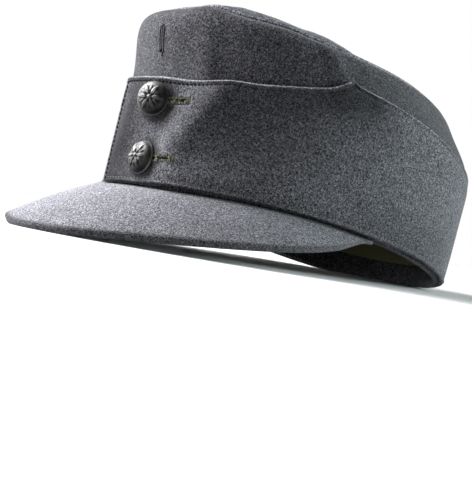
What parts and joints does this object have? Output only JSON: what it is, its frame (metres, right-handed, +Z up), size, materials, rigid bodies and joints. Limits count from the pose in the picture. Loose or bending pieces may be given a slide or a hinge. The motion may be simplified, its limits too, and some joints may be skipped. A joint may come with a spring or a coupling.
{
  "type": "field cap",
  "caption": "Wool field cap with an oval crown, a turned-up ear flap that buttons in front and a stiff drooping visor, resting on a surface by itself.",
  "frame": {"origin": "on the surface the cap rests on, below the middle of its outline", "axes": "+Z up; the visor points to -Y and the length of the cap runs along Y; +X is the wearer's left"},
  "size_m": [0.1898, 0.274, 0.1274],
  "materials": {
    "crown_wool": "blue-grey felted wool, matt, finely mottled",
    "top_wool": "blue-grey felted wool, matt, finely mottled",
    "flap_wool": "blue-grey felted wool, matt, finely mottled",
    "visor_wool": "blue-grey felted wool over stiff board, matt",
    "lining_twill": "olive twill, slightly smooth",
    "button_metal": "dark grey metal, worn bright on the raised relief"
  },
  "bodies": {
    "root": {"crown_wall": "crown_wool", "top_panel": "top_wool", "ear_flap": "flap_wool", "visor": "visor_wool", "lining": "lining_twill", "button_upper": "button_metal", "button_lower": "button_metal"}
  },
  "joints": []
}
